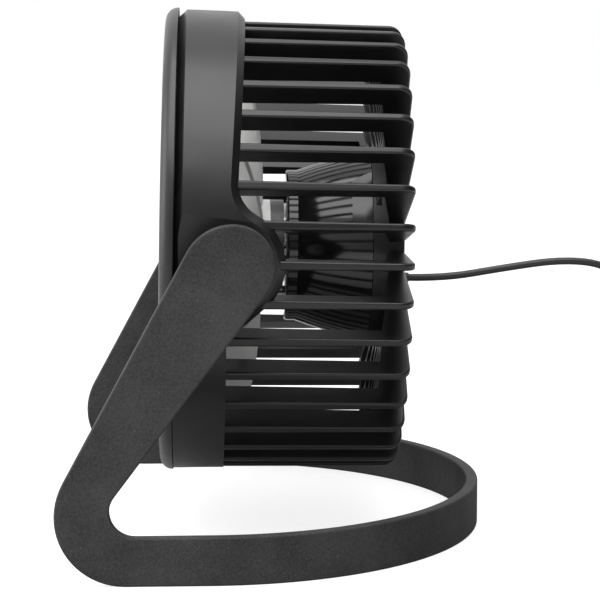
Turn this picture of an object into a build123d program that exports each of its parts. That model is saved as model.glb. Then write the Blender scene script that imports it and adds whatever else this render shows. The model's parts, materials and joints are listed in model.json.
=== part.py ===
"""USB desk fan: a finned, cylindrical fan head that tilts in a U-shaped loop stand.

Millimetres, +Z up. The origin is on the floor, under the middle of the stand's footprint,
and the air leaves towards -Y. Everything in the head is drawn on two planes whose normal
is the way the air leaves: head, with its origin on the tilt axis, and fan, with its origin
on the fan's own axis a little below it. A depth is a distance along that normal, positive
ahead of the tilt axis and negative behind it.
"""

import os
from math import acos, atan2, cos, degrees, hypot, pi, radians, sin, sqrt, tan

from build123d import *

os.makedirs("parts", exist_ok=True)

# ================================================================ driving sizes
# where things stand
floor_clearance = 18.8  # under the bezel
head_tilt = 1.1  # degrees that the head leans back at rest
axis_drop = 1.55  # fan axis below the tilt axis
front_depth = 22.0  # front face of the head
rear_depth = -59.2  # rear face of the head

# fits
seam_gap = 0.25  # between mouldings that plug together
seat_gap = 0.02  # radial, round a pressed or screwed-in piece
running_gap = 0.05  # radial, round a shaft that turns
air_gap = 0.6  # between what spins and what stands still

# front grille
bezel_lip = 0.5  # outside the ring
bezel_width = 4.4  # along the axis
bezel_edge_radius = 4.2
spigot_wall = 1.95
spigot_width = 4.8
bar_width = 1.6
bar_depth = 3.0
bar_setback = 0.8  # bars behind the front face
bar_root = 0.5  # that each bar runs into the disc and the bezel
front_disc_radius = 21.0
front_disc_dome = 0.4  # height of its middle
hoop_radius = 45.0
main_bar_count = 19

# housing ring
ring_radius = 79.5  # at its front edge
ring_draft = 1.25  # degrees
ring_rear_top = -5.1  # depth of the ring's rear edge at the very top
ring_rear_side = -2.4  # the same where it runs into the ear
ring_rear_low = 0.3  # the same all along the lower half
bevel = 2.4  # round the upper rear edge and the ears
groove_width = 2.7
groove_depth = 2.5
groove_end_angle = 8.0  # degrees below the horizontal

# ears and pivot bosses
ear_radius = 18.0
ear_foot = -24.4  # where an ear's lower edge leaves the ring
ear_sweep = 11.0  # hollow curve from the ring's rear edge into each ear
flat_cut = 1.75  # of the flats on the sides of the ring
flat_front = 16.0  # depth where each flat starts
boss_radius = 12.8
boss_rise = 5.0  # above the ring
boss_bevel = 1.0
boss_web = 8.0  # thickness of a boss
well_wall = 2.6  # round the room for each pivot screw
washer_clearance = 0.6  # round a pivot washer

# fins
fin_count = 38
first_fin_angle = 1.3  # degrees above the horizontal
fin_step = 2.1  # outside of the fins below the ring's front edge
fin_root = 2.4  # that the fins run into the ring
fin_draft = 0.7  # how much nearer the axis the outside is at the rear
fin_height = 7.8  # radial
fin_front = 2.0  # depth where the fins start, under the ring
fin_front_width = 3.2
fin_rear_width = 2.4
fin_corner_radius = 4.8
fin_edge = 0.8  # round on the outer edges
spoke_depth = 9.7  # of the radial stretch next to the corner

# hub of the rear grille
hub_radius = 33.7
hub_depth = 4.9
hub_step = 1.2  # from the hub's edge in to the collar
collar_wall = 2.2
collar_depth = 5.3
latch_count = 3
latch_angle = 36.0
latch_width = 5.4
latch_slot = 2.0
latch_rim = 0.7  # of collar in front of each latch window
latch_bite = 0.4  # of each latch short of the collar's outside

# motor shell
shell_length = 39.2  # from its front face to the rear face of the head
shell_nose_radius = 26.2
shell_nose_edge = 1.0
shell_nose_length = 3.8
shell_flare = 20.0  # degrees that the shell widens at first behind its nose
shell_flare_length = 10.2  # stretch over which it widens inside
shell_step = 0.1  # outside the collar
shell_wall = 1.8
shell_spigot = 4.0  # how far it plugs into the collar
latch_flat = 2.2  # depth of the flat in front of each latch
latch_flat_length = 6.9
cradle_length = 9.0
cradle_setback = 0.5  # of its front inside the shell's wall
shaft_clear_radius = 5.3

# rear cap, button, switch, board
cap_rim = 1.55  # of the hub round the cap
cap_wall = 2.2
cap_lip = 3.0
snap_bead = 0.4
button_radius = 6.6
button_height = 0.8  # proud of the cap, and the whole of its travel
button_flange = 0.8
button_edge = 0.5
slide_gap = 0.15
stem_reach = 0.6  # of the button's stem inside the switch
button_stem_radius = 1.6
switch_width = 8.4
switch_height = 3.2
switch_corner = 0.6
switch_hole = 1.8  # deep
board_radius = 19.0
board_width = 16.0
board_clearance = 1.4
board_thickness = 1.4
board_post_radius = 1.6
board_post_shoulder = 1.0
board_post_head = 0.4  # past the board
board_post_circle = 15.5

# impeller
tip_gap = 3.6  # from the blades out to the fins
impeller_hub_radius = 15.8
impeller_hub_front = 9.0
impeller_hub_wall = 1.8
impeller_boss_radius = 3.6
impeller_front = 10.0
blade_count = 7
blade_thickness = 1.5
blade_corner_radius = 9.0
blade_root_setback = 6.0  # of the first section inside the hub
blade_middle_radius = 40.0
# chord, angle of the chord to the plane of rotation, camber and depth of the middle
blade_root = (27.0, 50.0, 2.2, -1.4)
blade_middle = (42.0, 27.0, 4.2, -0.2)
blade_tip = (46.0, 15.0, 4.6, 3.0)
hub_edge_radius = 3.0
hub_rib_count = 4
hub_rib_width = 1.2
hub_boss_setback = 9.6  # of the boss's end inside the skirt
shaft_setback = 4.0  # of the shaft's end behind the front of the hub

# motor
can_radius = 12.2
can_length = 23.0
can_wall = 0.9
can_boss_radius = 5.0
bushing_radius = 3.0
bushing_length = 3.6
shaft_radius = 1.15
magnet_thickness = 2.2
magnet_arc = 130.0  # degrees
core_length = 10.0
core_slots = 5
tooth_width = 2.6
tooth_cap = 1.6
commutator_radius = 2.6
commutator_length = 3.6
brush_width = 2.0
end_cap_flange = 1.4
terminal_width = 2.2
terminal_thickness = 0.5
terminal_length = 4.0
motor_screw_circle = 8.0
motor_screw_radius = 1.0
can_boss_length = 1.5
core_setback = 3.8
core_gap = 0.4
tooth_root_radius = 3.0
tooth_overlap = 0.3  # that each tooth runs into the rings at its ends
slot_mouth = 1.2
magnet_overhang = 1.0  # past each end of the core
winding_height = 1.8
winding_gap = 0.15
commutator_gap = 0.6
segment_gap = 0.5
brush_length = 4.4
end_cap_depth = 1.8
end_cap_boss = 3.2
end_cap_boss_wall = 1.6
bushing_seat = 0.8  # rim that each bushing rests on
holder_wall = 0.8  # either side of a brush
shaft_chamfer = 0.2
shaft_end_gap = 0.6  # inside the rear bushing
terminal_circle = 8.4

# stand
arm_gap = 5.5  # from each boss to the arm
stand_depth = 142.8
stand_wall = 4.0
toe_reach = 54.8  # front of the stand ahead of the tilt axis
arm_end_radius = 13.2
arm_end_offset = 1.2  # of its centre behind and above the tilt axis
arm_shoulder_radius = 16.2  # from the arm's front edge into its round end
band_height = 15.6
toe_radius = 22.0  # outside of the bend from the desk into each arm
heel_radius = 8.0  # inside of the same bend
heel_reach = 29.6  # its centre ahead of the tilt axis
stand_edge = 0.7
stub_collar_radius = 10.6
stub_radius = 6.5
stub_end_gap = 0.2  # past the boss's web

# pivot hardware
friction_ring_thickness = 0.8
washer_radius = 9.2
washer_thickness = 1.0
pivot_screw_radius = 1.5
pivot_screw_length = 9.0
screw_head_radius = 3.0
screw_head_height = 1.8

# cord, coil and plug
cord_radius = 1.3
relief_spacing = 4.2  # of the strain relief's middle from the button's edge
relief_radius = 2.2
relief_neck_radius = 1.95
relief_tip_radius = 1.65
relief_length = 4.6
relief_flange = 1.2  # thick
relief_flange_rise = 0.7
relief_collar = 0.6  # stretch outside the cap before the neck
first_run = 13.0  # straight out of the strain relief
coil_middle_radius = 15.5
coil_centre = (-33.0, 145.5)
coil_across = 3  # turns side by side
coil_up = 4  # turns one on another
coil_corner = 0.9  # of the cord's radius
tie_thickness = 0.6
tie_arc = 18.0  # degrees of the coil that the tie covers
plug_entry = (2.0, 166.0)
grip_relief = 5.0
grip_length = 21.0
grip_width = 15.4
grip_height = 7.6
grip_corner = 2.2
grip_edge = 1.2
grip_nose_wall = 0.5  # round the cord
grip_neck_wall = 1.4
usb_width = 12.0
usb_height = 4.5
usb_length = 12.0
usb_wall = 0.35
usb_corner = 0.5
usb_tongue_height = 1.9
usb_tongue_setback = 0.6

# ================================================================ outlines that others follow
bezel_radius = ring_radius + bezel_lip
pivot_height = bezel_radius + floor_clearance
fin_radius = ring_radius - fin_step
fin_inner = fin_radius - fin_height
flat_half_width = ring_radius - flat_cut
boss_half_width = ring_radius + boss_rise
web_half_width = boss_half_width - boss_web
stand_half_width = boss_half_width + arm_gap + stand_wall
collar_radius = hub_radius - hub_step
hub_bore_radius = collar_radius - collar_wall
shell_radius = collar_radius + shell_step
shell_front = rear_depth + shell_length

# ================================================================ frames
tilt = radians(head_tilt)
pivot_y = toe_reach - stand_depth / 2
pivot_point = (0, pivot_y, pivot_height)
head = Plane(origin=pivot_point, x_dir=(1, 0, 0), z_dir=(0, -cos(tilt), sin(tilt)))
fan = Plane(origin=head.from_local_coords((0, -axis_drop, 0)), x_dir=(1, 0, 0), z_dir=head.z_dir)
fan_axis = Axis(fan.origin, fan.z_dir)
head_axis = Axis(head.origin, head.z_dir)
# sections: local X is the radius and local Y the depth
head_section = Plane(origin=head.origin, x_dir=-head.y_dir, z_dir=(-1, 0, 0))
fan_section = Plane(origin=fan.origin, x_dir=-fan.y_dir, z_dir=(-1, 0, 0))
# side views: local X is to the rear and local Y up
head_side = Plane(origin=head.origin, x_dir=-head.z_dir, z_dir=(1, 0, 0))
stand_side = Plane(origin=(0, pivot_y, 0), x_dir=(0, 1, 0), z_dir=(1, 0, 0))
# planes whose normals lead outwards along the tilt axis, for pieces on both sides
right = Plane(origin=head.origin, x_dir=-head.z_dir, z_dir=(1, 0, 0))
left = Plane(origin=head.origin, x_dir=-head.z_dir, z_dir=(-1, 0, 0))


def on_circle(centre, radius, angle):
    """Point on a circle of the drawing plane, at an angle in radians."""
    return (centre[0] + radius * cos(angle), centre[1] + radius * sin(angle))


def both_sides(distance):
    """Planes across the tilt axis at a distance either side, normals outwards."""
    return right.offset(distance), left.offset(distance)


# ================================================================ front grille
bezel_rear = front_depth - bezel_width
drum_bore = fin_radius - fin_root
spigot_radius = drum_bore - seam_gap
bezel_inner_radius = spigot_radius - spigot_wall
bar_front = front_depth - bar_setback
bar_rear = bar_front - bar_depth

with BuildPart() as front_grille:
    with BuildSketch(head.offset(bezel_rear)):
        Circle(bezel_radius)
    extrude(amount=bezel_width)
    fillet(front_grille.edges().sort_by(head_axis)[-1], bezel_edge_radius)
    with BuildSketch(fan.offset(front_depth)):
        Circle(bezel_inner_radius)
    extrude(amount=-bezel_width, mode=Mode.SUBTRACT)
    with BuildSketch(fan.offset(bezel_rear)):
        Circle(spigot_radius)
        Circle(bezel_inner_radius, mode=Mode.SUBTRACT)
    extrude(amount=-spigot_width)
    with BuildSketch(fan.offset(bar_rear)):
        Circle(hoop_radius + bar_width)
        Circle(hoop_radius, mode=Mode.SUBTRACT)
        with PolarLocations((bezel_inner_radius + front_disc_radius) / 2, main_bar_count):
            Rectangle(bezel_inner_radius - front_disc_radius + 2 * bar_root, bar_width)
        with PolarLocations((bezel_inner_radius + hoop_radius) / 2 + bar_root, main_bar_count,
                            180 / main_bar_count):
            Rectangle(bezel_inner_radius - hoop_radius, bar_width)
    extrude(amount=bar_depth)
    with BuildSketch(fan_section):
        with BuildLine():
            Polyline((0, bar_front + front_disc_dome), (0, bar_rear),
                     (front_disc_radius, bar_rear), (front_disc_radius, bar_front))
            TangentArc((0, bar_front + front_disc_dome), (front_disc_radius, bar_front),
                       tangent=(1, 0))
        make_face()
    revolve(axis=fan_axis)
front_grille.part.label = "front_grille"
export_step(front_grille.part, "parts/front_grille.step")

# ================================================================ rear housing
# one fin in the fan's own coordinates: X the radius, Y across the fin, Z the depth
fin_rear_radius = fin_radius - fin_draft
hub_inner_depth = rear_depth + hub_depth
spoke_root = hub_radius - hub_step / 2
with BuildPart() as fin:
    with BuildSketch(Plane.XZ):
        with BuildLine():
            Polyline((fin_inner, fin_front), (fin_radius, fin_front),
                     (fin_rear_radius, rear_depth), (spoke_root, rear_depth),
                     (spoke_root, hub_inner_depth), (fin_inner, rear_depth + spoke_depth),
                     (fin_inner, fin_front))
        make_face()
        fillet(vertices().sort_by(Axis.X)[-2], fin_corner_radius)
    extrude(amount=fin_front_width / 2, both=True)
    with BuildSketch(Plane.YZ):
        with BuildLine():
            Polyline((-fin_front_width / 2, fin_front), (fin_front_width / 2, fin_front),
                     (fin_rear_width / 2, rear_depth), (-fin_rear_width / 2, rear_depth),
                     close=True)
        make_face()
    extrude(amount=fin_radius * 2, mode=Mode.INTERSECT)
    outer_edges = [
        edge for edge in fin.edges()
        if abs(edge.center().Y) > fin_rear_width / 4
        and (edge.center().Z < rear_depth + fin_corner_radius or edge.center().X > fin_rear_radius)
        and edge.center().X > spoke_root + 1
        and edge.center().Z < fin_front - 1
    ]
    fillet(outer_edges, fin_edge)

ring_front = bezel_rear - seam_gap
collar_front = hub_inner_depth + collar_depth
cap_inner_depth = rear_depth + cap_wall
bead_depth = cap_inner_depth + cap_lip / 2
skin_rear = -ear_radius - 1
skin_rear_radius = ring_radius - (ring_front - skin_rear) * tan(radians(ring_draft))
# where the edges of an ear leave the ring, and where its lower one touches its round end
ear_top_start = (-ring_rear_side, sqrt(ear_radius**2 - ring_rear_side**2))
ear_foot_start = (-ring_rear_low, ear_foot)
ear_foot_angle = (
    atan2(ear_foot_start[1], ear_foot_start[0]) + acos(ear_radius / hypot(*ear_foot_start))
)
beyond = bezel_radius + 5
edge_lean = (ring_rear_side - ring_rear_top) / (bezel_radius - ear_top_start[1])

with BuildPart() as skin:
    with BuildSketch(head_section):
        with BuildLine():
            Polyline((fin_inner, ring_front), (ring_radius, ring_front),
                     (skin_rear_radius, skin_rear), (fin_inner, skin_rear), close=True)
        make_face()
    revolve(axis=head_axis)

# the upper half of the ring with its ears, which alone has a bevelled rear edge
with BuildPart() as upper_skin:
    add(skin.part)
    with BuildSketch(head_side):
        with BuildLine():
            Polyline(ear_foot_start, (-ring_front - 1, ear_foot), (-ring_front - 1, beyond),
                     (-ring_rear_side + edge_lean * (beyond - ear_top_start[1]), beyond),
                     ear_top_start)
            ThreePointArc(ear_top_start, (ear_radius, 0),
                          on_circle((0, 0), ear_radius, ear_foot_angle))
            Line(on_circle((0, 0), ear_radius, ear_foot_angle), ear_foot_start)
        make_face()
        fillet(vertices().sort_by_distance(ear_top_start)[0], ear_sweep)
    extrude(amount=beyond, both=True, mode=Mode.INTERSECT)
    cone_edges = upper_skin.faces().filter_by(GeomType.CONE).sort_by(SortBy.AREA)[-1].edges()
    rear_edges = [
        edge for edge in cone_edges
        if head.to_local_coords(edge.center()).Z < ring_rear_side
        and head.to_local_coords(edge.center()).Y > ear_foot + 1
    ]
    chamfer(rear_edges, bevel)

# what the bevel takes off the flat of one ear, from the ear's foot up to its hollow curve
foot_direction = head.y_dir * sin(ear_foot_angle) - head.z_dir * cos(ear_foot_angle)
sweep_angle = acos((ear_sweep - ring_rear_side) / (ear_sweep + ear_radius))
with BuildPart() as ear_bevel:
    with BuildSketch(Plane(origin=head.origin, x_dir=(1, 0, 0),
                           z_dir=Vector(1, 0, 0).cross(foot_direction))):
        with BuildLine():
            Polyline((flat_half_width + bevel, ear_radius - 2 * bevel),
                     (flat_half_width - 2 * bevel, ear_radius + bevel),
                     (flat_half_width + bevel, ear_radius + bevel), close=True)
        make_face()
    revolve(axis=Axis(head.origin, (1, 0, 0)),
            revolution_arc=degrees(sweep_angle - ear_foot_angle))

# the groove between bezel and ring, round the upper half
with BuildPart() as groove:
    with BuildSketch(head_section):
        with BuildLine():
            Polyline((ring_radius - groove_depth, ring_front + 1),
                     (ring_radius - groove_depth, ring_front),
                     (ring_radius + groove_depth, ring_front - 2 * groove_width),
                     (ring_radius + groove_depth, ring_front + 1), close=True)
        make_face()
    revolve(axis=head_axis)
    groove_end = head.from_local_coords((0, -ring_radius * sin(radians(groove_end_angle)), 0))
    split(bisect_by=Plane(origin=groove_end, z_dir=head.y_dir), keep=Keep.TOP)

with BuildPart(fan) as fins:
    with PolarLocations(0, fin_count, first_fin_angle):
        add(fin.part)

with BuildPart() as rear_housing:
    # the lower half of the ring, and the upper one
    add(skin.part)
    with BuildSketch(head_side):
        with BuildLine():
            Polyline((-ring_front - 1, -beyond), (-ring_front - 1, ear_foot),
                     ear_foot_start, (-ring_rear_low, -beyond), close=True)
        make_face()
    extrude(amount=beyond, both=True, mode=Mode.INTERSECT)
    add(upper_skin.part)
    # flats on the sides, bevelled round the ears, with the pivot bosses on them
    with BuildSketch(*both_sides(flat_half_width)):
        Rectangle(flat_front, ear_radius * 2, align=(Align.MAX, Align.CENTER))
        Rectangle(ear_radius + 2, ear_radius * 2, align=(Align.MIN, Align.CENTER))
    extrude(amount=beyond - flat_half_width, mode=Mode.SUBTRACT)
    add(ear_bevel.part, mode=Mode.SUBTRACT)
    mirror(ear_bevel.part, about=Plane.YZ, mode=Mode.SUBTRACT)
    with BuildSketch(*both_sides(web_half_width)):
        Circle(boss_radius)
    extrude(amount=boss_half_width - web_half_width)
    boss_edges = rear_housing.edges().filter_by(GeomType.CIRCLE).sort_by(Axis.X)
    chamfer([boss_edges[0], boss_edges[-1]], boss_bevel)
    # bore of the ring, and the groove
    with BuildSketch(fan.offset(ring_front)):
        Circle(drum_bore)
    extrude(amount=skin_rear - ring_front, mode=Mode.SUBTRACT)
    add(groove.part, mode=Mode.SUBTRACT)
    add(fins.part)
    # hub flange with its rebate for the cap, and the collar of the motor shell
    with BuildSketch(fan_section):
        with BuildLine():
            Polyline((hub_bore_radius, collar_front), (collar_radius, collar_front),
                     (collar_radius, hub_inner_depth), (hub_radius, hub_inner_depth),
                     (hub_radius, rear_depth), (hub_radius - cap_rim, rear_depth),
                     (hub_radius - cap_rim, cap_inner_depth), (hub_bore_radius, cap_inner_depth),
                     (hub_bore_radius, bead_depth - 2 * snap_bead),
                     (hub_bore_radius + snap_bead, bead_depth),
                     (hub_bore_radius, bead_depth + 2 * snap_bead), close=True)
        make_face()
    revolve(axis=fan_axis)
    # rooms for the pivot screws inside the bosses, and the bores of the stub axles
    with BuildSketch(*both_sides(fin_inner)):
        Circle(washer_radius + washer_clearance + well_wall)
    extrude(amount=flat_half_width - fin_inner)
    with BuildSketch(*both_sides(fin_inner - 1)):
        Circle(washer_radius + washer_clearance)
    extrude(amount=web_half_width - fin_inner + 1, mode=Mode.SUBTRACT)
    with BuildSketch(*both_sides(fin_inner)):
        Circle(stub_radius + running_gap)
    extrude(amount=boss_half_width - fin_inner + 1, mode=Mode.SUBTRACT)
    # windows for the shell's latches
    with BuildSketch(fan.offset(collar_front - latch_rim)):
        with PolarLocations(collar_radius, latch_count, latch_angle):
            Rectangle(4 * collar_wall, latch_width)
    extrude(amount=-latch_slot, mode=Mode.SUBTRACT)
rear_housing.part.label = "rear_housing"
export_step(rear_housing.part, "parts/rear_housing.step")

# ================================================================ motor shell
spigot_outer = hub_bore_radius - seam_gap
spigot_end = collar_front - shell_spigot
inner_front = shell_front - shell_wall
nose_end = (shell_nose_radius, shell_front - shell_nose_length)
shell_end = (shell_radius, collar_front + seam_gap)
spigot_inner = spigot_outer - shell_wall
with BuildPart() as motor_shell:
    with BuildSketch(fan_section):
        with BuildLine():
            Polyline((shaft_clear_radius, shell_front), (shell_nose_radius, shell_front), nose_end)
            TangentArc(nose_end, shell_end,
                       tangent=(sin(radians(shell_flare)), -cos(radians(shell_flare))))
            Polyline(shell_end, (spigot_outer, shell_end[1]), (spigot_outer, spigot_end),
                     (spigot_inner, spigot_end), (spigot_inner, nose_end[1] - shell_flare_length),
                     (shell_nose_radius - shell_wall, nose_end[1]),
                     (shell_nose_radius - shell_wall, inner_front),
                     (shaft_clear_radius, inner_front), (shaft_clear_radius, shell_front))
        make_face()
        fillet(vertices().sort_by_distance((shell_nose_radius, shell_front))[0], shell_nose_edge)
    revolve(axis=fan_axis)
    # cradle for the motor
    with BuildSketch(fan.offset(inner_front + cradle_setback)):
        Circle(can_radius + seat_gap + shell_wall)
        Circle(can_radius + seat_gap, mode=Mode.SUBTRACT)
    extrude(amount=-cradle_length)
    # latches that reach into the collar's windows, and the flats in front of them
    with BuildSketch(fan.offset(collar_front - latch_rim - seam_gap)):
        with PolarLocations(spigot_outer - shell_wall / 2, latch_count, latch_angle):
            Rectangle(collar_radius - latch_bite - spigot_outer + shell_wall / 2,
                      latch_width - 2 * seam_gap, align=(Align.MIN, Align.CENTER))
    extrude(amount=2 * seam_gap - latch_slot)
    with BuildSketch(fan.offset(collar_front + seam_gap)):
        with PolarLocations(shell_radius - latch_flat, latch_count, latch_angle):
            Rectangle(2 * latch_flat, shell_radius, align=(Align.MIN, Align.CENTER))
    extrude(amount=latch_flat_length, mode=Mode.SUBTRACT)
    with BuildSketch(fan.offset(shell_front)):
        with PolarLocations(motor_screw_circle, 2, 90):
            Circle(motor_screw_radius + seat_gap)
    extrude(amount=-shell_wall, mode=Mode.SUBTRACT)
motor_shell.part.label = "motor_shell"
export_step(motor_shell.part, "parts/motor_shell.step")

# ================================================================ motor
can_front = inner_front
can_rear = can_front - can_length
can_inner_radius = can_radius - can_wall
front_bushing_front = can_front + can_boss_length
core_front = can_front - can_wall - core_setback
core_radius = can_inner_radius - magnet_thickness - core_gap
end_cap_front = can_rear + end_cap_depth
commutator_front = core_front - core_length - winding_height - commutator_gap

with BuildPart() as motor_can:
    with BuildSketch(fan.offset(can_front)):
        Circle(can_radius)
    extrude(amount=-can_length)
    fillet(motor_can.edges().sort_by(fan_axis)[-1], can_wall)
    with BuildSketch(fan.offset(can_front - can_wall)):
        Circle(can_inner_radius)
    extrude(amount=-can_length, mode=Mode.SUBTRACT)
    with BuildSketch(fan.offset(can_front)):
        Circle(can_boss_radius)
    extrude(amount=can_boss_length)
    with BuildSketch(fan.offset(front_bushing_front)):
        Circle(bushing_radius + seat_gap)
    extrude(amount=-can_length, mode=Mode.SUBTRACT)
    with BuildSketch(fan.offset(can_front)):
        with PolarLocations(motor_screw_circle, 2, 90):
            Circle(motor_screw_radius + seat_gap)
    extrude(amount=-can_wall, mode=Mode.SUBTRACT)
motor_can.part.label = "motor_can"
export_step(motor_can.part, "parts/motor_can.step")

with BuildPart() as motor_magnets:
    with BuildSketch(fan.offset(core_front + magnet_overhang)):
        Circle(can_inner_radius - seat_gap)
        Circle(can_inner_radius - magnet_thickness, mode=Mode.SUBTRACT)
        Rectangle(2 * can_radius * sin(radians(90 - magnet_arc / 2)), 3 * can_radius,
                  mode=Mode.SUBTRACT)
    extrude(amount=-core_length - 2 * magnet_overhang)
motor_magnets.part.label = "motor_magnets"
export_step(motor_magnets.part, "parts/motor_magnets.step")

with BuildPart() as front_bushing:
    with BuildSketch(fan.offset(front_bushing_front)):
        Circle(bushing_radius)
        Circle(shaft_radius + running_gap, mode=Mode.SUBTRACT)
    extrude(amount=-bushing_length)
front_bushing.part.label = "front_bushing"
export_step(front_bushing.part, "parts/front_bushing.step")

rear_bushing_rear = can_rear - end_cap_boss
with BuildPart() as rear_bushing:
    with BuildSketch(fan.offset(rear_bushing_rear)):
        Circle(bushing_radius)
        Circle(shaft_radius + running_gap, mode=Mode.SUBTRACT)
    extrude(amount=bushing_length)
rear_bushing.part.label = "rear_bushing"
export_step(rear_bushing.part, "parts/rear_bushing.step")

with BuildPart() as armature_core:
    with BuildSketch(fan.offset(core_front)):
        Circle(tooth_root_radius)
        Circle(core_radius)
        Circle(core_radius - tooth_cap, mode=Mode.SUBTRACT)
        slot_middle = (core_radius - tooth_cap + tooth_root_radius) / 2
        with PolarLocations(slot_middle, core_slots):
            Rectangle(core_radius - tooth_root_radius - tooth_cap + 2 * tooth_overlap, tooth_width)
        with PolarLocations(core_radius, core_slots, 180 / core_slots):
            Rectangle(3 * tooth_cap, slot_mouth, mode=Mode.SUBTRACT)
        Circle(tooth_root_radius)
        Circle(shaft_radius + seat_gap, mode=Mode.SUBTRACT)
    extrude(amount=-core_length)
armature_core.part.label = "armature_core"
export_step(armature_core.part, "parts/armature_core.step")

with BuildPart() as armature_windings:
    for start, rise in ((core_front, winding_height), (core_front - core_length, -winding_height)):
        with BuildSketch(fan.offset(start)):
            Circle(core_radius - tooth_cap - winding_gap)
            Circle(tooth_root_radius + winding_gap, mode=Mode.SUBTRACT)
        extrude(amount=rise)
    with BuildSketch(fan.offset(core_front)):
        Circle(core_radius - tooth_cap - winding_gap)
        Circle(tooth_root_radius + winding_gap, mode=Mode.SUBTRACT)
        with PolarLocations(slot_middle, core_slots):
            Rectangle(2 * core_radius, tooth_width + 2 * winding_gap, mode=Mode.SUBTRACT)
    extrude(amount=-core_length)
armature_windings.part.label = "armature_windings"
export_step(armature_windings.part, "parts/armature_windings.step")

commutator_rear = commutator_front - commutator_length
with BuildPart() as commutator:
    with BuildSketch(fan.offset(commutator_front)):
        Circle(commutator_radius)
        with PolarLocations(commutator_radius, core_slots):
            Rectangle(segment_gap, segment_gap, mode=Mode.SUBTRACT)
        Circle(shaft_radius + seat_gap, mode=Mode.SUBTRACT)
    extrude(amount=-commutator_length)
commutator.part.label = "commutator"
export_step(commutator.part, "parts/commutator.step")

shaft_front = impeller_hub_front - shaft_setback
shaft_rear = rear_bushing_rear + shaft_end_gap
with BuildPart() as motor_shaft:
    with BuildSketch(fan.offset(shaft_front)):
        Circle(shaft_radius)
    extrude(amount=shaft_rear - shaft_front)
    chamfer(motor_shaft.edges().filter_by(GeomType.CIRCLE), shaft_chamfer)
motor_shaft.part.label = "motor_shaft"
export_step(motor_shaft.part, "parts/motor_shaft.step")

brush_depth = commutator_front - commutator_length / 2
brush_inner = commutator_radius + running_gap
brush_plane = fan.offset(brush_depth + brush_width / 2)
with BuildPart() as motor_brushes:
    with BuildSketch(brush_plane):
        with PolarLocations(brush_inner + brush_length / 2, 2):
            Rectangle(brush_length, brush_width)
    extrude(amount=-brush_width)
motor_brushes.part.label = "motor_brushes"
export_step(motor_brushes.part, "parts/motor_brushes.step")

holder_inner = brush_inner + brush_length
with BuildPart() as motor_end_cap:
    with BuildSketch(fan.offset(end_cap_front)):
        Circle(can_inner_radius - seat_gap)
    extrude(amount=-end_cap_depth)
    with BuildSketch(fan.offset(can_rear)):
        Circle(can_radius)
    extrude(amount=-end_cap_flange)
    with BuildSketch(fan.offset(can_rear)):
        Circle(bushing_radius + end_cap_boss_wall)
    extrude(amount=-end_cap_boss)
    # posts behind the brushes
    with BuildSketch(fan.offset(end_cap_front)):
        with PolarLocations(holder_inner + brush_width / 2, 2):
            Rectangle(brush_width, brush_width + 2 * holder_wall)
    extrude(amount=brush_depth + brush_width / 2 - end_cap_front)
    with BuildSketch(fan.offset(rear_bushing_rear)):
        Circle(bushing_radius + seat_gap)
    extrude(amount=bushing_length, mode=Mode.SUBTRACT)
    with BuildSketch(fan.offset(rear_bushing_rear)):
        Circle(bushing_radius - bushing_seat)
    extrude(amount=end_cap_front - rear_bushing_rear, mode=Mode.SUBTRACT)
    with BuildSketch(fan.offset(can_rear - end_cap_flange)):
        with PolarLocations(terminal_circle, 2, 90):
            Rectangle(terminal_thickness, terminal_width)
    extrude(amount=end_cap_flange, mode=Mode.SUBTRACT)
motor_end_cap.part.label = "motor_end_cap"
export_step(motor_end_cap.part, "parts/motor_end_cap.step")

with BuildPart() as motor_terminals:
    with BuildSketch(fan.offset(can_rear)):
        with PolarLocations(terminal_circle, 2, 90):
            Rectangle(terminal_thickness, terminal_width)
    extrude(amount=-terminal_length)
motor_terminals.part.label = "motor_terminals"
export_step(motor_terminals.part, "parts/motor_terminals.step")

with BuildPart() as motor_screws:
    with BuildSketch(fan.offset(shell_front)):
        with PolarLocations(motor_screw_circle, 2, 90):
            Circle(motor_screw_radius)
    extrude(amount=-shell_wall - can_wall)
    with BuildSketch(fan.offset(shell_front)):
        with PolarLocations(motor_screw_circle, 2, 90):
            Circle(2 * motor_screw_radius)
    extrude(amount=motor_screw_radius)
motor_screws.part.label = "motor_screws"
export_step(motor_screws.part, "parts/motor_screws.step")

# ================================================================ rear cap, button, board
board_front = rear_bushing_rear - board_clearance
board_rear = board_front - board_thickness
lip_front = cap_inner_depth + cap_lip
cap_radius = hub_radius - cap_rim - seam_gap
relief_point = (0, -button_radius - relief_spacing)
with BuildPart() as rear_cap:
    with BuildSketch(fan_section):
        with BuildLine():
            Polyline((0, rear_depth), (cap_radius, rear_depth), (cap_radius, cap_inner_depth),
                     (spigot_outer, cap_inner_depth), (spigot_outer, bead_depth - snap_bead),
                     (spigot_outer + snap_bead, bead_depth), (spigot_outer, bead_depth + snap_bead),
                     (spigot_outer, lip_front), (spigot_inner, lip_front),
                     (spigot_inner, cap_inner_depth), (0, cap_inner_depth),
                     close=True)
        make_face()
    revolve(axis=fan_axis)
    with BuildSketch(fan.offset(cap_inner_depth)):
        with PolarLocations(board_post_circle, 2):
            Circle(board_post_radius + board_post_shoulder)
    extrude(amount=board_rear - cap_inner_depth)
    with BuildSketch(fan.offset(board_rear)):
        with PolarLocations(board_post_circle, 2):
            Circle(board_post_radius - seat_gap)
    extrude(amount=board_thickness + board_post_head)
    with BuildSketch(fan.offset(rear_depth)):
        Circle(button_radius + slide_gap)
        with Locations(relief_point):
            Circle(relief_radius + seat_gap)
    extrude(amount=cap_wall, mode=Mode.SUBTRACT)
rear_cap.part.label = "rear_cap"
export_step(rear_cap.part, "parts/rear_cap.step")

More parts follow.
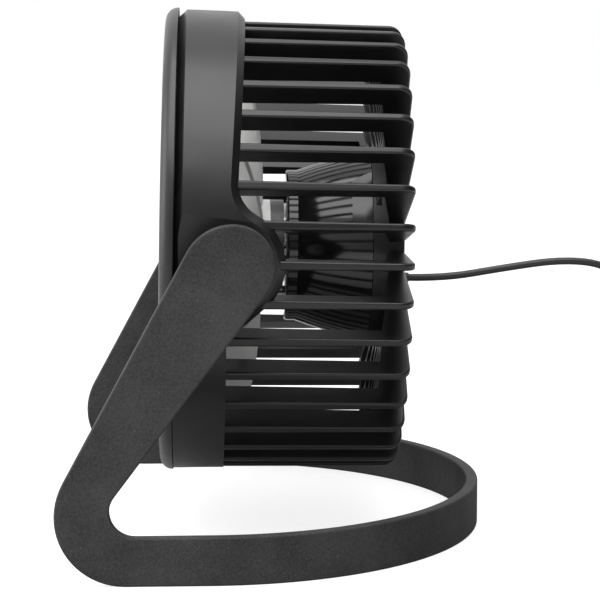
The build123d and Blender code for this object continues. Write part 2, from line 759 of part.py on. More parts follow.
with BuildPart() as circuit_board:
    with BuildSketch(fan.offset(board_front)):
        Circle(board_radius)
        Rectangle(2 * board_radius, board_width, mode=Mode.INTERSECT)
        with PolarLocations(board_post_circle, 2):
            Circle(board_post_radius, mode=Mode.SUBTRACT)
    extrude(amount=-board_thickness)
circuit_board.part.label = "circuit_board"
export_step(circuit_board.part, "parts/circuit_board.step")

switch_rear = board_rear - switch_height
with BuildPart() as switch_body:
    with BuildSketch(fan.offset(board_rear)):
        RectangleRounded(switch_width, switch_width, switch_corner)
    extrude(amount=-switch_height)
    with BuildSketch(fan.offset(switch_rear)):
        Circle(button_stem_radius + slide_gap)
    extrude(amount=switch_hole, mode=Mode.SUBTRACT)
switch_body.part.label = "switch_body"
export_step(switch_body.part, "parts/switch_body.step")

with BuildPart() as power_button:
    with BuildSketch(fan.offset(cap_inner_depth)):
        Circle(button_radius)
    extrude(amount=-cap_wall - button_height)
    fillet(power_button.edges().filter_by(GeomType.CIRCLE).sort_by(fan_axis)[0], button_edge)
    with BuildSketch(fan.offset(cap_inner_depth)):
        Circle(button_radius + button_flange)
    extrude(amount=button_flange)
    with BuildSketch(fan.offset(cap_inner_depth + button_flange)):
        Circle(button_stem_radius)
    extrude(amount=switch_rear + stem_reach - cap_inner_depth - button_flange)
power_button.part.label = "power_button"
export_step(power_button.part, "parts/power_button.step")

relief_plane = Plane(origin=fan.from_local_coords((*relief_point, 0)), x_dir=-fan.y_dir,
                     z_dir=(-1, 0, 0))
relief_axis = Axis(relief_plane.origin, fan.z_dir)
relief_end = rear_depth - relief_length
with BuildPart() as strain_relief:
    with BuildSketch(relief_plane):
        with BuildLine():
            Polyline((0, cap_inner_depth + relief_flange),
                     (relief_radius + relief_flange_rise, cap_inner_depth + relief_flange),
                     (relief_radius + relief_flange_rise, cap_inner_depth),
                     (relief_radius, cap_inner_depth), (relief_radius, rear_depth - relief_collar),
                     (relief_neck_radius, rear_depth - relief_collar),
                     (relief_tip_radius, relief_end),
                     (0, relief_end), close=True)
        make_face()
    revolve(axis=relief_axis)
strain_relief.part.label = "strain_relief"
export_step(strain_relief.part, "parts/strain_relief.step")

# ================================================================ impeller
impeller_radius = fin_inner - tip_gap
skirt_rear = shell_front + air_gap
hub_cavity_radius = impeller_hub_radius - impeller_hub_wall
hub_cavity_front = impeller_hub_front - impeller_hub_wall
blade_sections = (
    (impeller_hub_radius - blade_root_setback, *blade_root),
    (blade_middle_radius, *blade_middle),
    (impeller_radius, *blade_tip),
)

with BuildPart() as blade:
    for radius, chord, pitch, camber, middle in blade_sections:
        section = Plane(origin=fan.from_local_coords((radius, 0, middle)), x_dir=fan.y_dir,
                        z_dir=(1, 0, 0))
        with BuildSketch(section):
            reach = chord / 2 - blade_thickness / 2
            with BuildLine(mode=Mode.PRIVATE) as camber_line:
                ThreePointArc((-reach, 0), (0, camber), (reach, 0))
            SlotArc(camber_line.edge(), blade_thickness, rotation=pitch)
    loft()

with BuildPart() as impeller:
    for turn in range(blade_count):
        add(blade.part.rotate(fan_axis, turn * 360 / blade_count))
    # blade corners and tips
    with BuildSketch(fan_section):
        with BuildLine():
            Polyline((0, skirt_rear), (0, impeller_front), (impeller_radius, impeller_front),
                     (impeller_radius, skirt_rear), close=True)
        make_face()
        fillet(vertices().sort_by_distance((impeller_radius, impeller_front))[0],
               blade_corner_radius)
    revolve(axis=fan_axis, mode=Mode.INTERSECT)
    with BuildSketch(fan_section):
        with BuildLine():
            Polyline((0, skirt_rear), (impeller_hub_radius, skirt_rear),
                     (impeller_hub_radius, impeller_hub_front), (0, impeller_hub_front), close=True)
        make_face()
        fillet(vertices().sort_by_distance((impeller_hub_radius, impeller_hub_front))[0],
               hub_edge_radius)
    revolve(axis=fan_axis)
    with BuildSketch(fan.offset(skirt_rear)):
        Circle(hub_cavity_radius)
    extrude(amount=hub_cavity_front - skirt_rear, mode=Mode.SUBTRACT)
    with BuildSketch(fan.offset(hub_cavity_front)):
        Circle(impeller_boss_radius)
        with PolarLocations((impeller_boss_radius + hub_cavity_radius) / 2, hub_rib_count):
            Rectangle(hub_cavity_radius - impeller_boss_radius + impeller_hub_wall, hub_rib_width)
    extrude(amount=skirt_rear + hub_boss_setback - hub_cavity_front)
    with BuildSketch(fan.offset(shaft_front)):
        Circle(shaft_radius + seat_gap)
    extrude(amount=skirt_rear - shaft_front, mode=Mode.SUBTRACT)
impeller.part.label = "impeller"
export_step(impeller.part, "parts/impeller.step")

# ================================================================ stand
toe_centre = (-(toe_reach - toe_radius), toe_radius)
heel_centre = (-heel_reach, band_height + heel_radius)
arm_end = (arm_end_offset, pivot_height + arm_end_offset)
# the shoulder's arc touches the round end's from outside at its top
shoulder_centre = (arm_end[0], arm_end[1] - arm_shoulder_radius + arm_end_radius)
# direction of the normal of the straight edge in front of the arm, and of the one behind it
toe_run = (shoulder_centre[0] - toe_centre[0], shoulder_centre[1] - toe_centre[1])
front_normal = (
    atan2(toe_run[1], toe_run[0]) + acos((toe_radius - arm_shoulder_radius) / hypot(*toe_run))
)
heel_run = (heel_centre[0] - arm_end[0], heel_centre[1] - arm_end[1])
rear_normal = atan2(heel_run[1], heel_run[0]) + acos((arm_end_radius + heel_radius) / hypot(*heel_run))
round_centre = stand_depth / 2 - stand_half_width
collar_end = boss_half_width + friction_ring_thickness + 2 * running_gap
stub_end = web_half_width - stub_end_gap

with BuildPart() as stand:
    with BuildSketch(stand_side):
        with BuildLine():
            Polyline(on_circle(heel_centre, heel_radius, -pi / 2), (stand_depth, band_height),
                     (stand_depth, 0), (toe_centre[0], 0))
            toe_top = on_circle(toe_centre, toe_radius, front_normal)
            ThreePointArc((toe_centre[0], 0), on_circle(toe_centre, toe_radius, pi), toe_top)
            arm_front = on_circle(shoulder_centre, arm_shoulder_radius, front_normal)
            arm_top = on_circle(arm_end, arm_end_radius, pi / 2)
            arm_rear = on_circle(arm_end, arm_end_radius, rear_normal)
            Line(toe_top, arm_front)
            shoulder_mid = (front_normal + pi / 2) / 2
            ThreePointArc(arm_front, on_circle(shoulder_centre, arm_shoulder_radius, shoulder_mid),
                          arm_top)
            ThreePointArc(arm_top, on_circle(arm_end, arm_end_radius, pi / 8), arm_rear)
            heel_top = on_circle(heel_centre, heel_radius, rear_normal + pi)
            Line(arm_rear, heel_top)
            heel_mid = (rear_normal + pi + 1.5 * pi) / 2
            ThreePointArc(heel_top, on_circle(heel_centre, heel_radius, heel_mid),
                          on_circle(heel_centre, heel_radius, -pi / 2))
        make_face()
    extrude(amount=stand_half_width + 1, both=True)
    with BuildSketch(Plane.XY):
        with Locations((0, round_centre)):
            Circle(stand_half_width)
            Rectangle(2 * stand_half_width, stand_depth, align=(Align.CENTER, Align.MAX))
            Circle(stand_half_width - stand_wall, mode=Mode.SUBTRACT)
            Rectangle(2 * (stand_half_width - stand_wall), stand_depth,
                      align=(Align.CENTER, Align.MAX), mode=Mode.SUBTRACT)
    extrude(amount=pivot_height + 2 * arm_end_radius, mode=Mode.INTERSECT)
    fillet(stand.edges(), stand_edge)
    # where the arms start to curve before they reach a boss, they are faced off clear of it
    with BuildSketch(*both_sides(fin_inner)):
        Circle(boss_radius + arm_gap)
    extrude(amount=collar_end - fin_inner, mode=Mode.SUBTRACT)
    with BuildSketch(*both_sides(collar_end)):
        Circle(stub_collar_radius)
    extrude(amount=stand_half_width - stand_wall / 2 - collar_end)
    with BuildSketch(*both_sides(stub_end)):
        Circle(stub_radius)
    extrude(amount=collar_end - stub_end)
    with BuildSketch(*both_sides(stub_end)):
        Circle(pivot_screw_radius + seat_gap)
    extrude(amount=pivot_screw_length, mode=Mode.SUBTRACT)
stand.part.label = "stand"
export_step(stand.part, "parts/stand.step")

with BuildPart() as friction_rings:
    with BuildSketch(*both_sides(boss_half_width + running_gap)):
        Circle(stub_collar_radius)
        Circle(stub_radius + running_gap, mode=Mode.SUBTRACT)
    extrude(amount=friction_ring_thickness)
friction_rings.part.label = "friction_rings"
export_step(friction_rings.part, "parts/friction_rings.step")

with BuildPart() as pivot_washers:
    with BuildSketch(*both_sides(stub_end - washer_thickness)):
        Circle(washer_radius)
        Circle(pivot_screw_radius + seat_gap, mode=Mode.SUBTRACT)
    extrude(amount=washer_thickness)
pivot_washers.part.label = "pivot_washers"
export_step(pivot_washers.part, "parts/pivot_washers.step")

with BuildPart() as pivot_screws:
    head_end = stub_end - washer_thickness
    with BuildSketch(*both_sides(head_end)):
        Circle(pivot_screw_radius)
    extrude(amount=pivot_screw_length)
    with BuildSketch(*both_sides(head_end - screw_head_height)):
        Circle(screw_head_radius)
    extrude(amount=screw_head_height)
pivot_screws.part.label = "pivot_screws"
export_step(pivot_screws.part, "parts/pivot_screws.step")

# ================================================================ cord, coil and plug
cord_pitch = 2 * cord_radius
coil_outer = coil_middle_radius + cord_pitch * coil_across / 2
coil_inner = coil_middle_radius - cord_pitch * coil_across / 2
coil_path_outer = coil_outer - cord_radius
coil_top = tie_thickness + cord_pitch * coil_up
relief_tip = fan.from_local_coords((*relief_point, relief_end))
# chosen by hand: the way from the strain relief down to the coil, and from the coil to the plug
lead_points = [
    tuple(relief_tip),
    tuple(relief_tip - fan.z_dir * first_run),
    (0.3, 80.0, 88.4),
    (0.6, 101.0, 91.4),
    (0.8, 117.0, 89.6),
    (0.8, 128.0, 80.0),
    (0.6, 133.5, 64.0),
    (0.2, 135.0, 45.0),
    (-0.4, 135.0, 27.0),
    (-3.0, 133.5, 12.5),
    (-10.0, 131.0, 3.6),
    (-21.0, 128.6, 2.0),
    (coil_centre[0], coil_centre[1] - coil_path_outer, tie_thickness + cord_radius),
]
tail_points = [
    (coil_centre[0], coil_centre[1] + coil_path_outer, coil_top - cord_radius),
    (-24.0, 164.2, 9.3),
    (-14.5, 165.6, 6.0),
    (-6.5, plug_entry[1], grip_height / 2),
    (*plug_entry, grip_height / 2),
]


def turn_radii(points):
    """Radius of the arc at each inner point of a route of straight runs."""
    radii = []
    for before, here, after in zip(points, points[1:], points[2:]):
        run_in = Vector(*here) - Vector(*before)
        run_out = Vector(*after) - Vector(*here)
        turn = radians(run_in.get_angle(run_out))
        radii.append(0.45 * min(run_in.length, run_out.length) / tan(turn / 2))
    return radii


def cord_tube(points):
    """Round tube along a route of straight runs joined by arcs, and its length."""
    radii = turn_radii(points)
    with BuildPart() as tube:
        with BuildLine() as route:
            FilletPolyline(*points, radius=radii)
        path = route.wire()
        with BuildSketch(Plane(origin=path @ 0, z_dir=path % 0)):
            Circle(cord_radius)
        sweep()
    print("cord radii", [round(radius, 1) for radius in radii])
    print("cord length", path.length, "volume", tube.part.volume / (pi * cord_radius**2))
    return tube.part


power_cord = cord_tube(lead_points)
power_cord.label = "power_cord"
export_step(power_cord, "parts/power_cord.step")
cord_tail = cord_tube(tail_points)
cord_tail.label = "cord_tail"
export_step(cord_tail, "parts/cord_tail.step")

coil_axis = Axis((*coil_centre, 0), (0, 0, 1))
coil_section = Plane(origin=(*coil_centre, 0), x_dir=(-1, 0, 0), z_dir=(0, 1, 0))
with BuildPart() as cord_coil:
    with BuildSketch(coil_section):
        with Locations((coil_middle_radius, (coil_top + tie_thickness) / 2)):
            RectangleRounded(coil_outer - coil_inner, coil_top - tie_thickness,
                             coil_corner * cord_radius)
    revolve(axis=coil_axis)
cord_coil.part.label = "cord_coil"
export_step(cord_coil.part, "parts/cord_coil.step")

with BuildPart() as cord_tie:
    with BuildSketch(coil_section):
        with Locations((coil_middle_radius, (coil_top + tie_thickness) / 2)):
            RectangleRounded(coil_outer - coil_inner + 2 * tie_thickness, coil_top + tie_thickness,
                             cord_radius)
            RectangleRounded(coil_outer - coil_inner + seat_gap, coil_top - tie_thickness + seat_gap,
                             coil_corner * cord_radius, mode=Mode.SUBTRACT)
    revolve(axis=coil_axis, revolution_arc=tie_arc)
cord_tie.part.label = "cord_tie"
export_step(cord_tie.part, "parts/cord_tie.step")

plug = Plane(origin=(*plug_entry, grip_height / 2), x_dir=(0, 1, 0), z_dir=(1, 0, 0))
with BuildPart() as usb_grip:
    with BuildSketch(plug):
        Circle(cord_radius + grip_nose_wall)
    with BuildSketch(plug.offset(grip_relief)):
        Circle(cord_radius + grip_neck_wall)
    loft()
    with BuildSketch(plug.offset(grip_relief)):
        RectangleRounded(grip_width, grip_height, grip_corner)
    extrude(amount=grip_length)
    grip_ends = usb_grip.faces().filter_by(GeomType.PLANE).sort_by(Axis.X)
    fillet(grip_ends[1].outer_wire().edges(), grip_edge)
usb_grip.part.label = "usb_grip"
export_step(usb_grip.part, "parts/usb_grip.step")

usb_plane = plug.offset(grip_relief + grip_length)
with BuildPart() as usb_shell:
    with BuildSketch(usb_plane):
        RectangleRounded(usb_width, usb_height, usb_corner)
        Rectangle(usb_width - 2 * usb_wall, usb_height - 2 * usb_wall, mode=Mode.SUBTRACT)
    extrude(amount=usb_length)
usb_shell.part.label = "usb_shell"
export_step(usb_shell.part, "parts/usb_shell.step")

with BuildPart() as usb_tongue:
    with BuildSketch(usb_plane):
        with Locations((0, usb_height / 2 - usb_wall - seat_gap)):
            Rectangle(usb_width - 2 * usb_wall - 2 * seat_gap, usb_tongue_height,
                      align=(Align.CENTER, Align.MAX))
    extrude(amount=usb_length - usb_tongue_setback)
usb_tongue.part.label = "usb_tongue"
export_step(usb_tongue.part, "parts/usb_tongue.step")
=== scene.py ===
"""Looks of a small USB desk fan: finishes, the lead at its full length, and the studio."""

import json
import logging
import math
from dataclasses import dataclass, field
from enum import Enum

import bpy
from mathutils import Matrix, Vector


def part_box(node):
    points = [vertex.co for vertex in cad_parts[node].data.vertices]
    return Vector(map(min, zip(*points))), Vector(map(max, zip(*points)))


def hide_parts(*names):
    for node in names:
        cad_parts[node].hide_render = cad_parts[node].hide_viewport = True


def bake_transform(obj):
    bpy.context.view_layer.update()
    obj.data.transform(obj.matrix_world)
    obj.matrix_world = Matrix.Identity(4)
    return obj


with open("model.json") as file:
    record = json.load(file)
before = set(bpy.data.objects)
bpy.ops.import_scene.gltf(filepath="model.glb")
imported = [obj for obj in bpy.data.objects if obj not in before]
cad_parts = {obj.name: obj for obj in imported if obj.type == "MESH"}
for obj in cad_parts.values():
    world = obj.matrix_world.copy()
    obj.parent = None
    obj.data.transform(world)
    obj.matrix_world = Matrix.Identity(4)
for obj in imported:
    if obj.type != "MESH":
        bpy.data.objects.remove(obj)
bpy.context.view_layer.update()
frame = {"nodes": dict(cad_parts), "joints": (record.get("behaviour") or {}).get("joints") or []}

MM = 0.001
WHITE = (1.0, 1.0, 1.0, 1.0)
# what most of a noise's values lie between, and the narrower span of its middle tones
NOISE_SPAN = (0.3, 0.7)
MIDDLE_TONES = (0.35, 0.65)
LOG = logging.getLogger("desk_fan")

Colour = tuple[float, float, float]
Point = tuple[float, float, float]
Socket = bpy.types.NodeSocket
Value = Socket | float | Point


class Body(Enum):
    """The rigid bodies that the lead joins."""

    STAND = "stand"
    HEAD = "head"


def middle(node: str) -> Point:
    """Finds the middle of a CAD node's box.

    Args:
        node: the node's name.

    Returns:
        The point, in metres.
    """
    low, high = (Vector(corner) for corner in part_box(node))
    return tuple((low + high) / 2)


# ------------------------------------------------------------------ finishes
class NodeTree:
    """Adds and links the nodes of a material or of the world."""

    def __init__(self, owner: bpy.types.Material | bpy.types.World) -> None:
        """Starts with the nodes that a new owner has.

        Args:
            owner: the material or the world.
        """
        owner.use_nodes = True
        self.nodes = owner.node_tree.nodes
        self.links = owner.node_tree.links

    def put(self, value: Value, socket: Socket) -> None:
        """Links a value to a socket, or sets the socket if the value is a plain one.

        Args:
            value: the value.
            socket: where it goes.
        """
        if isinstance(value, Socket):
            self.links.new(value, socket)
        else:
            socket.default_value = value

    def calculate(self, operation: str, first: Value, second: Value) -> Socket:
        """Combines two numbers.

        Args:
            operation: the math node's operation.
            first: a number.
            second: another number.

        Returns:
            The result.
        """
        node = self.nodes.new("ShaderNodeMath")
        node.operation = operation
        self.put(first, node.inputs[0])
        self.put(second, node.inputs[1])
        return node.outputs["Value"]

    def combine(self, operation: str, first: Value, second: Value | None = None) -> bpy.types.Node:
        """Combines two vectors, or works on one.

        Args:
            operation: the vector math node's operation.
            first: a vector.
            second: another vector, if the operation takes two.

        Returns:
            The node, which has a number in its output Value or a vector in its output Vector.
        """
        node = self.nodes.new("ShaderNodeVectorMath")
        node.operation = operation
        self.put(first, node.inputs[0])
        if second is not None:
            self.put(second, node.inputs[1])
        return node

    def remap(self, value: Socket, low: float, high: float, to_low: float = 0.0,
              to_high: float = 1.0) -> Socket:
        """Maps a value from one range to another, clamped.

        Args:
            value: the socket to map.
            low: value that becomes to_low.
            high: value that becomes to_high.
            to_low: result at low.
            to_high: result at high.

        Returns:
            The mapped value.
        """
        node = self.nodes.new("ShaderNodeMapRange")
        self.put(value, node.inputs["Value"])
        for socket, number in zip(("From Min", "From Max", "To Min", "To Max"),
                                  (low, high, to_low, to_high)):
            self.put(number, node.inputs[socket])
        return node.outputs["Result"]

    def mix(self, kind: str, factor: Socket, first: Value, second: Value) -> Socket:
        """Mixes two colours or two vectors.

        Args:
            kind: RGBA for colours and VECTOR for vectors.
            factor: 0 for the first and 1 for the second.
            first: a colour with its alpha, or a vector.
            second: another of the same kind.

        Returns:
            The mixed value.
        """
        node = self.nodes.new("ShaderNodeMix")
        node.data_type = kind
        *_, first_input, second_input = (socket for socket in node.inputs if socket.type == kind)
        self.put(factor, node.inputs["Factor"])
        self.put(first, first_input)
        self.put(second, second_input)
        return next(socket for socket in node.outputs if socket.type == kind)


class MaterialTree(NodeTree):
    """The nodes of one new material with a Principled shader."""

    def __init__(self, name: str) -> None:
        """Makes the material.

        Args:
            name: the material's name.
        """
        self.material = bpy.data.materials.new(name)
        super().__init__(self.material)
        self.shader = self.nodes["Principled BSDF"]
        self.place = self.nodes.new("ShaderNodeTexCoord").outputs["Object"]

    def set(self, **sockets: float | tuple[float, ...]) -> None:
        """Sets sockets of the shader.

        Args:
            sockets: their values, by name with an underscore for each space.
        """
        for name, value in sockets.items():
            self.shader.inputs[name.replace("_", " ")].default_value = value

    def feed(self, value: Socket, socket: str) -> None:
        """Links a value to one of the shader's sockets.

        Args:
            value: the value.
            socket: the socket's name.
        """
        self.put(value, self.shader.inputs[socket])

    def noise(self, scale: float, detail: float, roughness: float = 0.5) -> Socket:
        """Adds noise on object coordinates.

        Args:
            scale: cycles per metre.
            detail: octaves.
            roughness: how strong the finer octaves are.

        Returns:
            The noise's factor.
        """
        node = self.nodes.new("ShaderNodeTexNoise")
        self.put(self.place, node.inputs["Vector"])
        for socket, number in zip(("Scale", "Detail", "Roughness"), (scale, detail, roughness)):
            self.put(number, node.inputs[socket])
        return node.outputs["Fac"]

    def blend(self, factor: Socket, first: Colour | Socket, second: Colour | Socket) -> Socket:
        """Mixes two colours by a factor.

        Args:
            factor: 0 for the first colour and 1 for the second.
            first: linear colour, or a socket that gives one.
            second: the same.

        Returns:
            The mixed colour.
        """
        colours = [colour if isinstance(colour, Socket) else (*colour, 1.0)
                   for colour in (first, second)]
        return self.mix("RGBA", factor, *colours)

    def facet_normal(self, centre: Point, reach: float) -> Socket:
        """Takes the faces' own normals near a point and the smooth ones elsewhere.

        Args:
            centre: the point.
            reach: how far from it they are taken, in metres.

        Returns:
            The normal.
        """
        away = self.combine("DISTANCE", self.place, centre).outputs["Value"]
        near = self.calculate("LESS_THAN", away, reach)
        geometry = self.nodes.new("ShaderNodeNewGeometry")
        return self.mix("VECTOR", near, geometry.outputs["Normal"], geometry.outputs["True Normal"])

    def bump(self, height: Socket, distance: float, normal: Socket | None = None) -> None:
        """Roughens the surface.

        Args:
            height: 0 to 1.
            distance: height of a full step, in metres.
            normal: what the surface's normal is without the bump, if not the smooth one.
        """
        node = self.nodes.new("ShaderNodeBump")
        self.put(height, node.inputs["Height"])
        self.put(distance, node.inputs["Distance"])
        if normal:
            self.put(normal, node.inputs["Normal"])
        self.feed(node.outputs["Normal"], "Normal")


@dataclass(frozen=True)
class MouldedPlastic:
    """Satin or matte plastic from a spark-eroded mould.

    Its fine grain roughens the surface, broad mottles come from handling and from the way the
    material filled the mould, and dust shows as scattered light specks. Near facet_centre, if it
    has one, the faces' own normals are taken. Lengths are in metres.
    """

    name: str
    colour: Colour
    roughness: float = 0.40
    roughness_spread: float = 0.04
    grain_size: float = 0.35 * MM
    grain_height: float = 0.008 * MM
    grain_tone: float = 0.25
    mottle_size: float = 14 * MM
    mottling: float = 0.10
    dust: float = 0.0
    dust_scale: float = 900.0
    dust_span: tuple[float, float] = (0.76, 0.84)
    dust_colour: Colour = (0.35, 0.35, 0.34)
    specular: float = 0.5
    facet_centre: Point | None = None
    facet_reach: float = 8.5 * MM

    def material(self) -> bpy.types.Material:
        """Builds the material.

        Returns:
            A procedural material on object coordinates.
        """
        tree = MaterialTree(self.name)
        tree.set(Specular_IOR_Level=self.specular)
        grain = tree.noise(1 / self.grain_size, detail=2.0)
        broad = tree.noise(1 / self.mottle_size, detail=3.0, roughness=0.55)
        tone = tree.calculate("ADD", tree.remap(broad, *MIDDLE_TONES, 0.0, 1 - self.grain_tone),
                              tree.remap(grain, *NOISE_SPAN, 0.0, self.grain_tone))
        dark = tuple(c * (1 - self.mottling) for c in self.colour)
        light = tuple(c * (1 + self.mottling) for c in self.colour)
        colour = tree.blend(tone, dark, light)
        if self.dust:
            specks = tree.noise(self.dust_scale, detail=1.0)
            specks = tree.remap(specks, *self.dust_span, 0.0, self.dust)
            colour = tree.blend(specks, colour, self.dust_colour)
        tree.feed(colour, "Base Color")
        roughness = tree.remap(broad, *NOISE_SPAN, self.roughness - self.roughness_spread,
                               self.roughness + self.roughness_spread)
        tree.feed(roughness, "Roughness")
        normal = None
        if self.facet_centre:
            normal = tree.facet_normal(self.facet_centre, self.facet_reach)
        tree.bump(grain, self.grain_height, normal)
        return tree.material


@dataclass(frozen=True)
class BladePlastic:
    """Pale plastic of the impeller, whose hub ends in a dark band of painted shade next to the motor,
    where the drum shades it.

    Lengths are in metres.
    """

    name: str
    colour: Colour
    # colour of the painted shade on the hub's rim, where the drum shades it
    painted_shade_colour: Colour
    haze_scale: float = 90.0
    haze_shade: float = 0.98
    roughness: float = 0.34
    roughness_spread: float = 0.03
    ripple_scale: float = 900.0
    ripple_height: float = 0.002 * MM
    rim_radius: float = 17.0 * MM
    rim_length: float = 4.6 * MM
    rim_edge: float = 0.1 * MM

    def rim(self, tree: MaterialTree) -> Socket:
        """Finds where shade is painted: the hub's rim, which lies near the fan's axis and just ahead
        of the motor shell.

        Args:
            tree: the material's nodes.

        Returns:
            1 on the rim, where shade is painted, and 0 elsewhere.
        """
        offset = tree.combine("SUBTRACT", tree.place, middle("motor_shell")).outputs["Vector"]
        across = tree.combine("MULTIPLY", offset, (1.0, 0.0, 1.0)).outputs["Vector"]
        radius = tree.combine("LENGTH", across).outputs["Value"]
        place = tree.nodes.new("ShaderNodeSeparateXYZ")
        tree.put(tree.place, place.inputs["Vector"])
        shell_front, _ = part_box("motor_shell")
        start = shell_front[1] - self.rim_length
        behind = tree.remap(place.outputs["Y"], start, start + self.rim_edge)
        beyond = tree.remap(radius, self.rim_radius, self.rim_radius + self.rim_edge, 0.0, -1.0)
        return tree.remap(tree.calculate("ADD", behind, beyond), 0.0, 1.0)

    def material(self) -> bpy.types.Material:
        """Builds the material.

        Returns:
            A procedural material on object coordinates.
        """
        tree = MaterialTree(self.name)
        haze = tree.noise(self.haze_scale, detail=2.0)
        pale = tree.blend(haze, tuple(c * self.haze_shade for c in self.colour), self.colour)
        # painted shade: the hub's rim is darkened where the drum shades it
        tree.feed(tree.blend(self.rim(tree), pale, self.painted_shade_colour), "Base Color")
        roughness = tree.remap(haze, *NOISE_SPAN, self.roughness - self.roughness_spread,
                               self.roughness + self.roughness_spread)
        tree.feed(roughness, "Roughness")
        tree.bump(tree.noise(self.ripple_scale, detail=1.0), self.ripple_height)
        return tree.material


@dataclass(frozen=True)
class PolishedPlastic:
    """Glossy plastic with a slight haze and faint ripples. Lengths are in metres."""

    name: str
    colour: Colour
    haze_scale: float = 120.0
    haze_shades: tuple[float, float] = (0.85, 1.15)
    roughness: float = 0.10
    roughness_shares: tuple[float, float] = (0.8, 1.3)
    ripple_scale: float = 420.0
    ripple_height: float = 0.001 * MM

    def material(self) -> bpy.types.Material:
        """Builds the material.

        Returns:
            A procedural material on object coordinates.
        """
        tree = MaterialTree(self.name)
        haze = tree.noise(self.haze_scale, detail=3.0)
        dark, light = (tuple(c * shade for c in self.colour) for shade in self.haze_shades)
        tree.feed(tree.blend(haze, dark, light), "Base Color")
        smooth, rough = (self.roughness * share for share in self.roughness_shares)
        tree.feed(tree.remap(haze, *NOISE_SPAN, smooth, rough), "Roughness")
        tree.bump(tree.noise(self.ripple_scale, detail=1.0), self.ripple_height)
        return tree.material


@dataclass(frozen=True)
class Metal:
    """Plain metal with a fine grain. Lengths are in metres."""

    name: str
    colour: Colour
    roughness: float = 0.32
    roughness_shares: tuple[float, float] = (0.8, 1.2)
    grain_scale: float = 2200.0
    grain_shade: float = 0.9
    grain_height: float = 0.004 * MM

    def material(self) -> bpy.types.Material:
        """Builds the material.

        Returns:
            A procedural material on object coordinates.
        """
        tree = MaterialTree(self.name)
        tree.set(Metallic=1.0)
        grain = tree.noise(self.grain_scale, detail=2.0)
        dark = tuple(c * self.grain_shade for c in self.colour)
        tree.feed(tree.blend(grain, dark, self.colour), "Base Color")
        smooth, rough = (self.roughness * share for share in self.roughness_shares)
        tree.feed(tree.remap(grain, *NOISE_SPAN, smooth, rough), "Roughness")
        tree.bump(grain, self.grain_height)
        return tree.material


# the normal of a vertex at the middle of the front cover's domed disc leans
CASE = MouldedPlastic("black_case_plastic", (0.0045, 0.0045, 0.0047), roughness=0.36,
                      facet_centre=middle("front_grille"))
STAND_GRAIN = MouldedPlastic("black_stand_plastic", (0.054, 0.054, 0.055), roughness=0.6,
                             grain_size=0.7 * MM, grain_height=0.03 * MM, grain_tone=0.5,
                             mottle_size=24 * MM, mottling=0.42, dust=0.25, specular=0.12)
GLOSS_BLACK = PolishedPlastic("gloss_black_plastic", (0.006, 0.006, 0.006))
# the second colour is the painted shade on the hub's rim
BLADE = BladePlastic("pale_blade_plastic", (0.86, 0.86, 0.85), (0.055, 0.055, 0.055))
JACKET = MouldedPlastic("lead_jacket", (0.014, 0.014, 0.014), roughness=0.42, mottling=0.1)
PAD = MouldedPlastic("friction_pad", (0.02, 0.02, 0.02), roughness=0.8)
IVORY = MouldedPlastic("ivory_plastic", (0.70, 0.68, 0.60), mottling=0.03, roughness=0.45)
SWITCH = MouldedPlastic("switch_plastic", (0.015, 0.015, 0.015), roughness=0.4)
BOARD = MouldedPlastic("circuit_board", (0.03, 0.16, 0.07), mottling=0.15, roughness=0.35)
MAGNET = MouldedPlastic("magnet", (0.035, 0.035, 0.037), roughness=0.5)
STEEL = Metal("plated_steel", (0.62, 0.63, 0.64))
BRASS = Metal("brass", (0.80, 0.62, 0.30))
COPPER = Metal("enamelled_copper", (0.72, 0.34, 0.18), roughness=0.28)

Finish = MouldedPlastic | BladePlastic | PolishedPlastic | Metal


class Workshop:
    """Makes each finish once and dresses the frame's nodes with it."""

    def __init__(self) -> None:
        """Starts with no finish made."""
        self.made: dict[str, bpy.types.Material] = {}

    def material(self, finish: Finish) -> bpy.types.Material:
        """Gives the material of a finish, made the first time it is asked for.

        Args:
            finish: the finish.

        Returns:
            The material.
        """
        if finish.name not in self.made:
            self.made[finish.name] = finish.material()
        return self.made[finish.name]

    def dress(self, finish: Finish, *names: str) -> None:
        """Gives nodes of the frame a finish.

        Args:
            finish: the finish.
            names: the nodes' names.
        """
        for name in names:
            for slot in frame["nodes"][name].material_slots:
                slot.material = self.material(finish)
            LOG.info("%s: %s", name, finish.name)


